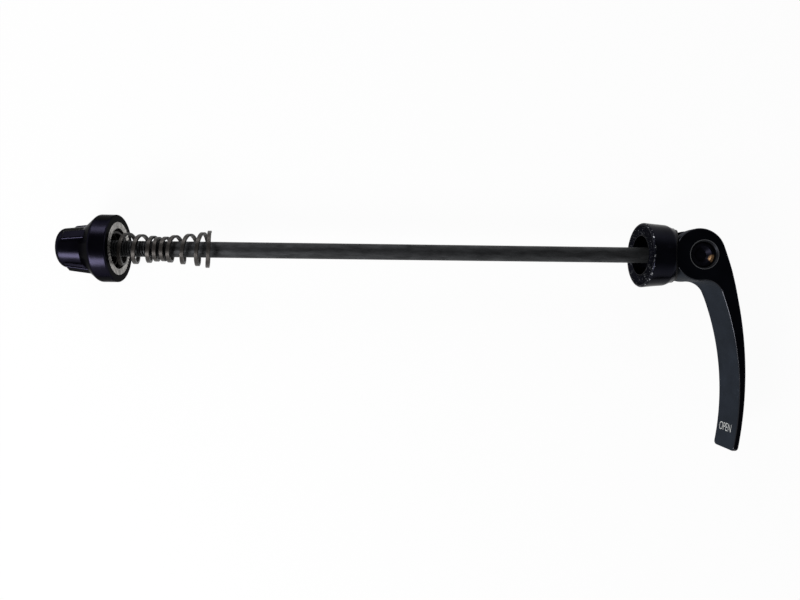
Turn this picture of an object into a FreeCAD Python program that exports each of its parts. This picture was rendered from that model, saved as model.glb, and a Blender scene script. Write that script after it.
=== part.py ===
"""Bicycle quick-release skewer with an external cam lever, millimetres.

Frame: the origin is on the rod's axis, midway between the two clamp faces. +X runs
along the rod towards the lever, +Z is the axis of the lever's pivot, and the lever
lies closed along -Y with its hollow side towards the hub.
"""

import FreeCAD, Part
import os

import Sketcher

doc = FreeCAD.newDocument("quick_release_skewer")
sheet = doc.addObject("Spreadsheet::Sheet", "sizes")

# Driving sizes: name, value, meaning
SIZES = [
    ("clamp_span", 165.0, "distance between the clamp faces of cap and nut"),
    ("rod_diameter", 5.0, "rod and thread major diameter"),
    ("rod_end_inset", 1.5, "rod end short of the nut's nose"),
    ("rod_end_chamfer", 0.5, "chamfer on the threaded end"),
    ("slide_clearance", 0.1, "radial clearance of pieces that slide on the rod"),
    ("thread_clearance", 0.05, "radial clearance of the nut on the rod's thread"),
    ("pivot_offset", 17.7, "lever pivot behind the cap's clamp face"),
    ("barrel_diameter", 8.0, "pivot barrel"),
    ("barrel_length", 11.0, "pivot barrel along its own axis"),
    ("barrel_dish_diameter", 5.6, "hollow in each end of the barrel"),
    ("barrel_dish_depth", 1.1, "depth of that hollow"),
    ("barrel_chamfer", 0.4, "edge of the barrel's ends"),
    ("barrel_thread_depth", 6.4, "rod's reach into the barrel from its surface"),
    ("cam_radius", 8.25, "round head of the lever"),
    ("cam_throw", 1.2, "head's centre from the pivot"),
    ("cam_gap", 0.3, "cam to saddle at rest"),
    ("head_width", 13.0, "fork head along the pivot"),
    ("pivot_clearance", 0.05, "radial clearance of the fork on the barrel"),
    ("eye_chamfer", 0.45, "chamfer on the fork's two eyes"),
    ("fork_slot", 5.8, "gap between the fork's cheeks"),
    ("fork_floor", 3.2, "slot's floor from the pivot"),
    ("blade_reach", 62.1, "lever tip from the pivot"),
    ("blade_tip_x", 11.95, "outer corner of the tip across from the pivot"),
    ("blade_back_radius", 120.0, "convex back of the blade"),
    ("blade_belly_radius", 87.5, "hollow side of the blade"),
    ("blade_tip_thickness", 1.8, "blade at its tip"),
    ("crotch_radius", 6.0, "hollow between head and blade"),
    ("crotch_x", 0.5, "that hollow's centre across from the pivot"),
    ("taper_start", 5.0, "where the cheeks begin to narrow, from the pivot"),
    ("blade_root", 14.0, "where the blade's taper begins, from the pivot"),
    ("blade_root_width", 12.1, "blade's width there"),
    ("blade_tip_width", 11.0, "blade's width at the tip"),
    ("blade_rounding", 0.5, "rounded long edges of blade and head"),
    ("tip_rounding", 1.3, "rounded corners of the blade's end"),
    ("cap_face_diameter", 20.8, "cap at its clamp face"),
    ("cap_shoulder_diameter", 19.5, "cap at its shoulder"),
    ("cap_shoulder", 7.2, "shoulder behind the clamp face"),
    ("cap_slope", 2.2, "slope from the shoulder to the collar"),
    ("cap_collar_diameter", 17.6, "collar behind the shoulder"),
    ("cap_length", 10.6, "cap along the rod"),
    ("cap_end_slope", 0.5, "sloped end of the collar along the rod"),
    ("cap_end_diameter", 16.8, "cap and saddle at that end"),
    ("cap_rim_rounding", 0.6, "rounded rim of the clamp face"),
    ("cap_shoulder_rounding", 1.5, "rounded shoulder"),
    ("cap_recess_depth", 3.2, "spring recess in the clamp face"),
    ("recess_diameter", 12.6, "spring recess of cap and nut"),
    ("saddle_radius", 13.0, "saddle's hollow that the cam runs in"),
    ("saddle_thickness", 1.0, "saddle wall"),
    ("nut_length", 17.0, "nut along the rod"),
    ("nut_flange_diameter", 20.9, "nut's clamp flange"),
    ("nut_flange_width", 4.9, "its width"),
    ("nut_flange_rounding", 1.3, "its rounded back edge"),
    ("nut_face_rounding", 0.4, "rounded edge of its clamp face"),
    ("nut_neck_diameter", 13.4, "nut's body at the foot of the flange"),
    ("nut_shoulder_width", 4.4, "slope from the flange to the body"),
    ("nut_nose_diameter", 11.9, "nut's body at its nose"),
    ("nut_nose_rounding", 1.6, "rounded nose"),
    ("rib_count", 4, "finger ribs around the nut"),
    ("rib_width", 2.9, "rib across"),
    ("rib_root_radius", 8.8, "rib's crest at the flange"),
    ("rib_nose_radius", 7.5, "rib's crest at its slope"),
    ("rib_slope", 2.4, "sloped end of the rib along the nut"),
    ("rib_end_inset", 0.8, "rib's end short of the nose"),
    ("rib_rounding", 0.5, "rounded crests"),
    ("rib_turn", 27.5, "first rib from +Z towards +Y, degrees"),
    ("nut_recess_depth", 4.6, "spring recess in the nut"),
    ("grip_diameter", 16.4, "serrated ring"),
    ("grip_thickness", 2.0, "its thickness"),
    ("grip_teeth", 48, "its radial teeth"),
    ("grip_tooth_depth", 0.3, "depth of its grooves"),
    ("grip_tooth_width", 0.42, "width of its grooves"),
    ("lock_diameter", 7.2, "nylon ring in the nut's nose"),
    ("lock_length", 3.0, "its length"),
    ("lock_inset", 0.5, "its face inside the nose"),
    ("wire_width", 1.2, "spring wire along the rod"),
    ("wire_thickness", 0.7, "spring wire across"),
    ("spring_big_diameter", 11.9, "wide end outside"),
    ("spring_small_diameter", 7.6, "narrow end outside"),
    ("nut_spring_narrow_lead", 1.7, "lead of the nut spring's narrow end coil"),
    ("nut_spring_lead", 4.15, "lead of its open coils"),
    ("nut_spring_coils", 3, "its open coils"),
    ("nut_spring_wide_lead", 1.5, "lead of its wide end coil"),
    ("nut_spring_wide_turns", 1.0, "turns of its wide end coil"),
    ("lever_spring_narrow_lead", 2.3, "lead of the lever spring's narrow end coil"),
    ("lever_spring_lead", 4.5, "lead of its open coils"),
    ("lever_spring_coils", 2, "its open coils"),
    ("lever_spring_wide_lead", 2.6, "lead of its wide end coil"),
    ("lever_spring_wide_turns", 1.25, "turns of its wide end coil"),
    ("spring_gap", 0.8, "between the two springs"),
    ("coil_lap", 0.001, "turn that a run of coils goes on into the next"),
    ("seat_gap", 0.3, "spring to its seat"),
]
for row, (name, value, meaning) in enumerate(SIZES, start=1):
    sheet.set(f"A{row}", meaning)
    sheet.set(f"B{row}", str(value))
    sheet.setAlias(f"B{row}", name)
doc.recompute()

PARTS = []


def body_at(label, x="0", turn=None):
    """New body on the rod's axis, x along it, turned about the axis by turn degrees."""
    body = doc.addObject("PartDesign::Body", label)
    body.Label = label
    body.setExpression("Placement.Base.x", x)
    if turn:
        body.Placement.Rotation = FreeCAD.Rotation(FreeCAD.Vector(1, 0, 0), 1)
        body.setExpression("Placement.Rotation.Angle", turn)
    PARTS.append(body)
    return body


def sketch_on(body, name, role):
    """Empty sketch on one of the body's own origin planes."""
    plane = next(f for f in body.Origin.OriginFeatures if f.Role == role)
    sketch = body.newObject("Sketcher::SketchObject", name)
    sketch.AttachmentSupport = [(plane, "")]
    sketch.MapMode = "FlatFace"
    return sketch


def measure(sketch, kind, expression, *where):
    """Constraint whose value is an expression of the sheet."""
    index = sketch.addConstraint(Sketcher.Constraint(kind, *where, 1.0))
    sketch.setExpression(f"Constraints[{index}]", expression)


def pin(sketch, geometry, end, across, up):
    """Hold one end of a curve at a place given by two expressions."""
    measure(sketch, "DistanceX", across, -1, 1, geometry, end)
    measure(sketch, "DistanceY", up, -1, 1, geometry, end)


def polygon(sketch, corners):
    """Closed outline of straight lines through corners given as expression pairs."""
    count = len(corners)
    ring = [FreeCAD.Vector(20, 0, 0)] * count
    for i in range(count):
        turn = FreeCAD.Rotation(FreeCAD.Vector(0, 0, 1), 360.0 * i / count)
        ring[i] = turn.multVec(FreeCAD.Vector(20, 0, 0))
    first = sketch.GeometryCount
    for i in range(count):
        sketch.addGeometry(Part.LineSegment(ring[i], ring[(i + 1) % count]))
    for i in range(count):
        following = first + (i + 1) % count
        sketch.addConstraint(Sketcher.Constraint("Coincident", first + i, 2, following, 1))
    for i, (across, up) in enumerate(corners):
        pin(sketch, first + i, 1, across, up)


def circle(sketch, diameter, across="0", up="0"):
    """Circle of a diameter and a centre given by expressions."""
    shape = Part.Circle(FreeCAD.Vector(1, 1, 0), FreeCAD.Vector(0, 0, 1), 5)
    geometry = sketch.addGeometry(shape)
    measure(sketch, "Diameter", diameter, geometry)
    pin(sketch, geometry, 3, across, up)


def turned(body, name, corners):
    """Solid of revolution about the rod's axis; corners are (along, radius) pairs."""
    sketch = sketch_on(body, f"{name}_profile", "XY_Plane")
    polygon(sketch, corners)
    solid = body.newObject("PartDesign::Revolution", name)
    solid.Profile = sketch
    solid.ReferenceAxis = (sketch, ["H_Axis"])
    solid.Angle = 360
    doc.recompute()
    return solid


def extruded(body, kind, name, sketch, length, symmetric=True, reverse=False):
    """Pad or Pocket of a sketch by a length given as an expression."""
    feature = body.newObject(f"PartDesign::{kind}", name)
    feature.Profile = sketch
    feature.SideType = "Symmetric" if symmetric else "One side"
    feature.Reversed = reverse
    feature.setExpression("Length", length)
    before = feature.BaseFeature.Shape.Volume if feature.BaseFeature else 0.0
    doc.recompute()
    change = feature.Shape.Volume - before
    if (kind == "Pad") != (change > 0.0):
        raise RuntimeError(f"{body.Label}.{name} changed the volume by {change}")
    return feature


def rounded(body, kind, name, base, size, wanted):
    """Fillet or Chamfer on the base's edges that wanted(edge) picks."""
    edges = base.Shape.Edges
    names = [f"Edge{i}" for i, edge in enumerate(edges, start=1) if wanted(edge)]
    if not names:
        raise RuntimeError(f"{body.Label}.{name} found no edge")
    feature = body.newObject(f"PartDesign::{kind}", name)
    feature.Base = (base, names)
    feature.setExpression("Radius" if kind == "Fillet" else "Size", size)
    doc.recompute()
    return feature


def polar(body, name, feature, axis, count):
    """Copies of a feature around one of the body's origin axes."""
    line = next(f for f in body.Origin.OriginFeatures if f.Role == axis)
    pattern = body.newObject("PartDesign::PolarPattern", name)
    pattern.Originals = [feature]
    pattern.Axis = (line, [""])
    pattern.Angle = 360
    pattern.setExpression("Occurrences", count)
    body.Tip = pattern
    doc.recompute()
    return pattern


def on_circle(edge, along, radius, tolerance=0.02):
    """True for a round edge about the rod's axis at this place and radius."""
    if not isinstance(edge.Curve, Part.Circle):
        return False
    place = abs(edge.Curve.Center.x - along) < tolerance
    return place and abs(edge.Curve.Radius - radius) < tolerance


def size(name):
    """Present value of a size in the sheet."""
    return float(sheet.get(name))


# Places along the rod that several pieces share
CAP_X = "sizes.clamp_span / 2"
NUT_X = "-sizes.clamp_span / 2"
PIVOT_X = "sizes.clamp_span / 2 + sizes.pivot_offset"
ROD_R = "sizes.rod_diameter / 2"
SLIDE_R = "(sizes.rod_diameter / 2 + sizes.slide_clearance)"

# Skewer rod: from inside the nut's nose to its seat in the pivot barrel
rod = body_at("skewer_rod")
ROD_TAIL = "-(sizes.clamp_span / 2 + sizes.nut_length - sizes.rod_end_inset)"
ROD_HEAD = f"{PIVOT_X} - sizes.barrel_diameter / 2 + sizes.barrel_thread_depth"
turned(rod, "rod_shank", [
    (ROD_TAIL, "0"),
    (ROD_TAIL, f"{ROD_R} - sizes.rod_end_chamfer"),
    (f"{ROD_TAIL} + sizes.rod_end_chamfer", ROD_R),
    (ROD_HEAD, ROD_R),
    (ROD_HEAD, "0"),
])

# Pivot barrel: cross barrel with hollowed ends, drilled for the rod
barrel = body_at("pivot_barrel", PIVOT_X)
outline = sketch_on(barrel, "barrel_section", "XZ_Plane")
HALF = "sizes.barrel_length / 2"
DISH = "sizes.barrel_dish_diameter / 2"
BARREL_R = "sizes.barrel_diameter / 2"
polygon(outline, [
    ("0", f"-{HALF} + sizes.barrel_dish_depth"),
    (f"{DISH} - sizes.barrel_dish_depth", f"-{HALF} + sizes.barrel_dish_depth"),
    (DISH, f"-{HALF}"),
    (f"{BARREL_R} - sizes.barrel_chamfer", f"-{HALF}"),
    (BARREL_R, f"-{HALF} + sizes.barrel_chamfer"),
    (BARREL_R, f"{HALF} - sizes.barrel_chamfer"),
    (f"{BARREL_R} - sizes.barrel_chamfer", HALF),
    (DISH, HALF),
    (f"{DISH} - sizes.barrel_dish_depth", f"{HALF} - sizes.barrel_dish_depth"),
    ("0", f"{HALF} - sizes.barrel_dish_depth"),
])
solid = barrel.newObject("PartDesign::Revolution", "barrel_solid")
solid.Profile = outline
solid.ReferenceAxis = (outline, ["V_Axis"])
solid.Angle = 360
doc.recompute()
drill = sketch_on(barrel, "rod_seat_circle", "YZ_Plane")
circle(drill, "sizes.rod_diameter")
drill.AttachmentOffset = FreeCAD.Placement()
drill.setExpression("AttachmentOffset.Base.z", f"sizes.barrel_thread_depth - {BARREL_R}")
extruded(barrel, "Pocket", "rod_seat", drill, "2 * sizes.barrel_diameter", symmetric=False)

# Lever: round cam head and curved blade from one outline, then fork, eyes and taper
lever = body_at("lever", PIVOT_X)
outline = sketch_on(lever, "lever_outline", "XY_Plane")
Z_UP = FreeCAD.Vector(0, 0, 1)


def arc(centre, radius, start, end):
    """Arc in the outline, from start to end degrees counter-clockwise."""
    whole = Part.Circle(FreeCAD.Vector(centre[0], centre[1], 0), Z_UP, radius)
    turn = Part.ArcOfCircle(whole, start * 0.0174533, end * 0.0174533)
    return outline.addGeometry(turn)


HEAD = arc((-1.2, 0.0), 8.25, 20.5, 276.9)
CROTCH = arc((0.5, -14.15), 6.0, 21.4, 96.8)
BELLY = arc((-75.4, -43.8), 87.5, -12.1, 21.4)
BACK = arc((-105.9, -39.2), 120.0, -11.0, 20.5)
TIP = outline.addGeometry(Part.LineSegment(
    FreeCAD.Vector(10.15, -62.1, 0), FreeCAD.Vector(11.95, -62.1, 0)))
outline.addConstraint(Sketcher.Constraint("Tangent", HEAD, 1, BACK, 2))
outline.addConstraint(Sketcher.Constraint("Tangent", HEAD, 2, CROTCH, 2))
outline.addConstraint(Sketcher.Constraint("Tangent", CROTCH, 1, BELLY, 2))
outline.addConstraint(Sketcher.Constraint("Coincident", BELLY, 1, TIP, 1))
outline.addConstraint(Sketcher.Constraint("Coincident", BACK, 1, TIP, 2))
outline.addConstraint(Sketcher.Constraint("Horizontal", TIP))
pin(outline, HEAD, 3, "-sizes.cam_throw", "0")
pin(outline, TIP, 2, "sizes.blade_tip_x", "-sizes.blade_reach")
measure(outline, "Radius", "sizes.cam_radius", HEAD)
measure(outline, "Radius", "sizes.crotch_radius", CROTCH)
measure(outline, "DistanceX", "sizes.crotch_x", -1, 1, CROTCH, 3)
measure(outline, "Radius", "sizes.blade_belly_radius", BELLY)
measure(outline, "Radius", "sizes.blade_back_radius", BACK)
measure(outline, "DistanceX", "sizes.blade_tip_thickness", TIP, 1, TIP, 2)
blank = extruded(lever, "Pad", "lever_blank", outline, "sizes.head_width")

taper = sketch_on(lever, "blade_taper_outline", "YZ_Plane")
ROOT = "-sizes.blade_root"
TIP_Y = "-(sizes.blade_reach + 1)"
for side in ("", "-"):
    polygon(taper, [
        ("-sizes.taper_start", f"{side}sizes.head_width / 2"),
        (ROOT, f"{side}sizes.blade_root_width / 2"),
        (TIP_Y, f"{side}sizes.blade_tip_width / 2"),
        (TIP_Y, f"{side}sizes.head_width"),
        ("-sizes.taper_start", f"{side}sizes.head_width"),
    ])
extruded(lever, "Pocket", "blade_taper", taper, "8 * sizes.cam_radius")

tip_corners = rounded(
    lever, "Fillet", "tip_corners", lever.Tip, "sizes.tip_rounding",
    lambda edge: edge.BoundBox.YMax < 0.01 - size("blade_reach")
    and edge.BoundBox.ZLength < 0.01)
rounded(
    lever, "Fillet", "edge_rounding", tip_corners, "sizes.blade_rounding",
    lambda edge: abs(edge.CenterOfMass.z) > size("blade_tip_width") / 2 - 0.5)

slot = sketch_on(lever, "fork_outline", "YZ_Plane")
polygon(slot, [
    ("-sizes.fork_floor", "-sizes.fork_slot / 2"),
    ("2 * sizes.cam_radius", "-sizes.fork_slot / 2"),
    ("2 * sizes.cam_radius", "sizes.fork_slot / 2"),
    ("-sizes.fork_floor", "sizes.fork_slot / 2"),
])
extruded(lever, "Pocket", "fork", slot, "6 * sizes.cam_radius")
eye = sketch_on(lever, "eye_circle", "XY_Plane")
circle(eye, "sizes.barrel_diameter + 2 * sizes.pivot_clearance")
eyes = extruded(lever, "Pocket", "eyes", eye, "2 * sizes.head_width")
EYE_R = size("barrel_diameter") / 2 + size("pivot_clearance")


def is_eye_rim(edge):
    """True for the outer rim of either eye."""
    if not isinstance(edge.Curve, Part.Circle):
        return False
    outside = abs(abs(edge.Curve.Center.z) - size("head_width") / 2) < 0.02
    return outside and abs(edge.Curve.Radius - EYE_R) < 0.02


rounded(lever, "Chamfer", "eye_edge", eyes, "sizes.eye_chamfer", is_eye_rim)

# End cap: turned cup with the clamp face, hollowed behind for the saddle
cap = body_at("end_cap", CAP_X)
COLLAR_R = "sizes.cap_collar_diameter / 2"
cap_solid = turned(cap, "cap_solid", [
    ("0", "sizes.recess_diameter / 2"),
    ("0", "sizes.cap_face_diameter / 2"),
    ("sizes.cap_shoulder", "sizes.cap_shoulder_diameter / 2"),
    ("sizes.cap_shoulder + sizes.cap_slope", COLLAR_R),
    ("sizes.cap_length - sizes.cap_end_slope", COLLAR_R),
    ("sizes.cap_length", "sizes.cap_end_diameter / 2"),
    ("sizes.cap_length", SLIDE_R),
    ("sizes.cap_recess_depth", SLIDE_R),
    ("sizes.cap_recess_depth", "sizes.recess_diameter / 2"),
])
rim = rounded(
    cap, "Fillet", "cap_rim", cap_solid, "sizes.cap_rim_rounding",
    lambda edge: on_circle(edge, 0, size("cap_face_diameter") / 2))
shoulder = rounded(
    cap, "Fillet", "cap_shoulder_round", rim, "sizes.cap_shoulder_rounding",
    lambda edge: on_circle(edge, size("cap_shoulder"), size("cap_shoulder_diameter") / 2))
SADDLE_X = "(sizes.pivot_offset - sizes.cam_throw - sizes.cam_radius - sizes.cam_gap)"
SADDLE_CENTRE = f"{SADDLE_X} + sizes.saddle_radius"
hollow = sketch_on(cap, "saddle_seat_circle", "XY_Plane")
circle(hollow, "2 * (sizes.saddle_radius + sizes.saddle_thickness)", SADDLE_CENTRE)
extruded(cap, "Pocket", "saddle_seat", hollow, "2 * sizes.cap_face_diameter")

# Cam saddle: curved liner that fills the cap's hollow, as wide as the collar
saddle = body_at("cam_saddle", CAP_X)
disc = sketch_on(saddle, "saddle_disc", "YZ_Plane")
circle(disc, "sizes.cap_end_diameter")
circle(disc, f"2 * {SLIDE_R}")
extruded(saddle, "Pad", "saddle_blank", disc, "sizes.cap_length", symmetric=False)
inner = sketch_on(saddle, "saddle_hollow_circle", "XY_Plane")
circle(inner, "2 * sizes.saddle_radius", SADDLE_CENTRE)
extruded(saddle, "Pocket", "saddle_hollow", inner, "2 * sizes.cap_face_diameter")
outer = sketch_on(saddle, "saddle_back_outline", "XY_Plane")
polygon(outer, [
    ("-sizes.cap_length", "-2 * sizes.saddle_radius"),
    (f"{SADDLE_CENTRE} + 2 * sizes.saddle_radius", "-2 * sizes.saddle_radius"),
    (f"{SADDLE_CENTRE} + 2 * sizes.saddle_radius", "2 * sizes.saddle_radius"),
    ("-sizes.cap_length", "2 * sizes.saddle_radius"),
])
circle(outer, "2 * (sizes.saddle_radius + sizes.saddle_thickness)", SADDLE_CENTRE)
extruded(saddle, "Pocket", "saddle_back", outer, "2 * sizes.cap_face_diameter")

# Adjusting nut: flange, ribbed body, spring recess, ring seat, thread and lock seat
nut = body_at("adjusting_nut", NUT_X, "-sizes.rib_turn")
FLANGE_R = "sizes.nut_flange_diameter / 2"
NECK_X = "-(sizes.nut_flange_width + sizes.nut_shoulder_width)"
LOCK_X = "-(sizes.nut_length - sizes.lock_inset - sizes.lock_length)"
THREAD_R = "(sizes.rod_diameter / 2 + sizes.thread_clearance)"
nut_solid = turned(nut, "nut_solid", [
    ("0", "sizes.grip_diameter / 2"),
    ("0", FLANGE_R),
    ("-sizes.nut_flange_width", FLANGE_R),
    (NECK_X, "sizes.nut_neck_diameter / 2"),
    ("-sizes.nut_length", "sizes.nut_nose_diameter / 2"),
    ("-sizes.nut_length", "sizes.lock_diameter / 2"),
    (LOCK_X, "sizes.lock_diameter / 2"),
    (LOCK_X, THREAD_R),
    ("-sizes.nut_recess_depth", THREAD_R),
    ("-sizes.nut_recess_depth", "sizes.recess_diameter / 2"),
    ("-sizes.grip_thickness", "sizes.recess_diameter / 2"),
    ("-sizes.grip_thickness", "sizes.grip_diameter / 2"),
])
nose = rounded(
    nut, "Fillet", "nut_nose", nut_solid, "sizes.nut_nose_rounding",
    lambda edge: on_circle(edge, -size("nut_length"), size("nut_nose_diameter") / 2))
flange = rounded(
    nut, "Fillet", "flange_back", nose, "sizes.nut_flange_rounding",
    lambda edge: on_circle(edge, -size("nut_flange_width"), size("nut_flange_diameter") / 2))
rounded(
    nut, "Fillet", "flange_front", flange, "sizes.nut_face_rounding",
    lambda edge: on_circle(edge, 0, size("nut_flange_diameter") / 2))
rib_side = sketch_on(nut, "rib_outline", "XZ_Plane")
RIB_END = "-(sizes.nut_length - sizes.rib_end_inset)"
polygon(rib_side, [
    ("-sizes.nut_flange_width", "sizes.rib_root_radius"),
    (f"{RIB_END} + sizes.rib_slope", "sizes.rib_nose_radius"),
    (RIB_END, "sizes.nut_nose_diameter / 2 - sizes.nut_nose_rounding"),
    ("-sizes.nut_flange_width", "sizes.nut_nose_diameter / 2 - sizes.nut_nose_rounding"),
])
rib = extruded(nut, "Pad", "rib", rib_side, "sizes.rib_width")
ribs = polar(nut, "ribs", rib, "X_Axis", "sizes.rib_count")


def is_crest_edge(edge):
    """True for the two long edges of a rib's crest."""
    if not isinstance(edge.Curve, Part.Line):
        return False
    ends = [(v.Point.y ** 2 + v.Point.z ** 2) ** 0.5 for v in edge.Vertexes]
    return min(ends) > size("rib_nose_radius") - 0.1


rounded(nut, "Fillet", "rib_edges", ribs, "sizes.rib_rounding", is_crest_edge)

# Grip ring: pressed into the flange, radial grooves across its face
ring = body_at("nut_grip_ring", NUT_X, "-sizes.rib_turn")
turned(ring, "ring_solid", [
    ("0", "sizes.recess_diameter / 2"),
    ("0", "sizes.grip_diameter / 2"),
    ("-sizes.grip_thickness", "sizes.grip_diameter / 2"),
    ("-sizes.grip_thickness", "sizes.recess_diameter / 2"),
])
groove = sketch_on(ring, "groove_outline", "XY_Plane")
polygon(groove, [
    ("sizes.grip_tooth_depth", "-sizes.grip_tooth_width"),
    ("-sizes.grip_tooth_depth", "0"),
    ("sizes.grip_tooth_depth", "sizes.grip_tooth_width"),
])
cut = extruded(ring, "Pocket", "groove", groove, "sizes.grip_diameter", False, True)
polar(ring, "grooves", cut, "X_Axis", "sizes.grip_teeth")

# Lock insert: nylon ring that grips the thread at the nose
lock = body_at("nut_lock_insert", NUT_X)
LOCK_END = f"{LOCK_X} - sizes.lock_length"
turned(lock, "lock_solid", [
    (LOCK_X, THREAD_R),
    (LOCK_X, "sizes.lock_diameter / 2"),
    (LOCK_END, "sizes.lock_diameter / 2"),
    (LOCK_END, THREAD_R),
])

# Centring springs: left-hand conical coils of flat wire, with a tighter coil at each end.
# Each starts at its narrow end; the two narrow ends face each other on the rod.
BIG_R = "(sizes.spring_big_diameter - sizes.wire_thickness) / 2"
SMALL_R = "(sizes.spring_small_diameter - sizes.wire_thickness) / 2"


def coil(body, name, start, radius, rise, turns, growth, outward):
    """Helical run of flat wire about the rod's axis from start, outward = +1 or -1."""
    wire = sketch_on(body, f"{name}_wire", "XZ_Plane")
    half_width = f"{outward} * sizes.wire_width / 2"
    polygon(wire, [
        (f"{start} - {half_width}", f"{radius} - sizes.wire_thickness / 2"),
        (f"{start} + {half_width}", f"{radius} - sizes.wire_thickness / 2"),
        (f"{start} + {half_width}", f"{radius} + sizes.wire_thickness / 2"),
        (f"{start} - {half_width}", f"{radius} + sizes.wire_thickness / 2"),
    ])
    run = body.newObject("PartDesign::AdditiveHelix", name)
    run.Profile = wire
    run.ReferenceAxis = (wire, ["H_Axis"])
    run.Mode = "height-turns-growth"
    run.LeftHanded = True
    run.Reversed = outward < 0
    run.setExpression("Height", rise)
    run.setExpression("Turns", turns)
    run.setExpression("Growth", growth)
    doc.recompute()


def spring(label, narrow_end, outward):
    """Conical spring from its narrow end's wire centre, growing outward along the rod."""
    body = body_at(label, narrow_end)
    narrow_lead = f"sizes.{label}_narrow_lead"
    lead = f"sizes.{label}_lead"
    coils = f"sizes.{label}_coils"
    wide_lead = f"sizes.{label}_wide_lead"
    wide_turns = f"sizes.{label}_wide_turns"
    growth = f"(({BIG_R} - {SMALL_R}) / (1 + {coils} + {wide_turns}))"
    runs = [
        ("narrow_coil", "0", "0", "(1 + sizes.coil_lap)", narrow_lead),
        ("open_coils", narrow_lead, "1", f"({coils} + sizes.coil_lap)", lead),
        ("wide_coil", f"({narrow_lead} + {coils} * {lead})", f"(1 + {coils})", wide_turns,
         wide_lead),
    ]
    for name, start, turns_before, turns, run_lead in runs:
        radius = f"({SMALL_R} + {turns_before} * {growth})"
        rise = f"{turns} * {run_lead}"
        coil(body, name, f"{outward} * {start}", radius, rise, turns, growth, outward)


NUT_SPRING_X = (f"{NUT_X} - sizes.nut_recess_depth + sizes.seat_gap + sizes.wire_width / 2"
                " + sizes.nut_spring_narrow_lead"
                " + sizes.nut_spring_coils * sizes.nut_spring_lead"
                " + sizes.nut_spring_wide_turns * sizes.nut_spring_wide_lead")
spring("nut_spring", NUT_SPRING_X, -1)
spring("lever_spring", f"{NUT_SPRING_X} + sizes.wire_width + sizes.spring_gap", 1)

doc.recompute()
for item in doc.Objects:
    if "Invalid" in item.State or "Error" in item.State:
        raise RuntimeError(f"{item.Label} failed: {item.State}")
for body in PARTS:
    if body.Shape.isNull() or not body.Shape.isValid() or len(body.Shape.Solids) != 1:
        raise RuntimeError(f"{body.Label} is not one valid solid")

os.makedirs("parts", exist_ok=True)
for body in PARTS:
    body.Shape.exportStep(f"parts/{body.Label}.step")
    box = body.Shape.BoundBox
    print(f"{body.Label:16s} {body.Shape.Volume:9.2f} mm3  x {box.XMin:8.2f} {box.XMax:8.2f}"
          f"  y {box.YMin:7.2f} {box.YMax:7.2f}  z {box.ZMin:7.2f} {box.ZMax:7.2f}")
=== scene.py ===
import bpy
import numpy as np
from mathutils import Matrix, Vector


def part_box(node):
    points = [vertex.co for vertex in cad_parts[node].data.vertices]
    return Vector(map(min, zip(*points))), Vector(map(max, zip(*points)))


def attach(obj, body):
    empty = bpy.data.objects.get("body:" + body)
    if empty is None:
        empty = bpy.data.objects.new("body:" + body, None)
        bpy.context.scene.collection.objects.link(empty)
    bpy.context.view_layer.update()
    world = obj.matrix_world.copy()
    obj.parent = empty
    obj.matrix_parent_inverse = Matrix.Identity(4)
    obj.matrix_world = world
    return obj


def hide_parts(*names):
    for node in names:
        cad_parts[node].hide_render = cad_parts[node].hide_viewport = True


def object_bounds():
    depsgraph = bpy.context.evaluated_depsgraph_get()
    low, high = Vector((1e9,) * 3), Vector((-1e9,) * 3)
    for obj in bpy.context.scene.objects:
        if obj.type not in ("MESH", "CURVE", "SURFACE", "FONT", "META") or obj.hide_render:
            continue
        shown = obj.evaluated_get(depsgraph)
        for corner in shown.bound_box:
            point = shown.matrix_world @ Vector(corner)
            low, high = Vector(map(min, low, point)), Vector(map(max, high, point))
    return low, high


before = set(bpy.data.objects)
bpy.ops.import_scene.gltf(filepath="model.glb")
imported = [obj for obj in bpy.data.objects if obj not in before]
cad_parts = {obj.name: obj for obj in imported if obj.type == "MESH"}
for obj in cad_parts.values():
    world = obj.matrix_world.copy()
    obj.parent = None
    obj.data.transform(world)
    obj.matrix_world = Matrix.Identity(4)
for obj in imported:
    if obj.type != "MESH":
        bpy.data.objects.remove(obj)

CAD_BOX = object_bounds()

bl_info = {
    "name": "Quick-Release Skewer",
    "version": (1, 0, 0),
    "blender": (4, 5, 0),
    "location": "3D View > Sidebar > Skewer",
    "description": "Dresses a bicycle quick-release skewer: thread, springs, knurl and finishes",
    "category": "Add Mesh",
}

MM = 0.001
TAU = 2.0 * np.pi

# Stretch of a pattern per axis, and the axes over which a distance is measured.
EVEN = (1.0, 1.0, 1.0)
DRAWN_OUT = (0.2, 1.0, 1.0)
RUBBED_OUT = (0.12, 1.0, 1.0)
FROM_ROD_AXIS = (0.0, 1.0, 1.0)
FROM_PIVOT_AXIS = (1.0, 1.0, 0.0)

LETTER_THINNING = -0.010
FLOOR_GAP = 0.0005 * MM

# The camera looks straight down, leaning a little to one side, as the photo was taken.
CAMERA_PLACE = (-2.97 * MM, -15.18 * MM, 190.2 * MM)
CAMERA_BACK = (-0.0424, 0.0, 0.9991)
CAMERA_UP = (-0.0094, 1.0, 0.0004)
SENSOR_WIDTH = 36.0


def length(name, text, millimetres):
    """Float property for a length, given in millimetres and held in metres."""
    return bpy.props.FloatProperty(
        name=name, description=text, default=millimetres * MM, unit="LENGTH", precision=5)


def number(name, text, value, unit="NONE"):
    """Float property for a plain number, or for one with a unit."""
    return bpy.props.FloatProperty(name=name, description=text, default=value, unit=unit)


def runs(name, text, values, unit="NONE", scale=1.0):
    """Values of a spring's four runs: narrow end coil, open coils, wide end coil, closed end."""
    return bpy.props.FloatVectorProperty(
        name=name, description=text, default=[value * scale for value in values],
        size=4, unit=unit, precision=5)


def colour(name, text, value):
    """Colour property with a linear default."""
    return bpy.props.FloatVectorProperty(
        name=name, description=text, default=value, subtype="COLOR", size=3, min=0.0, max=1.0)


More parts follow.
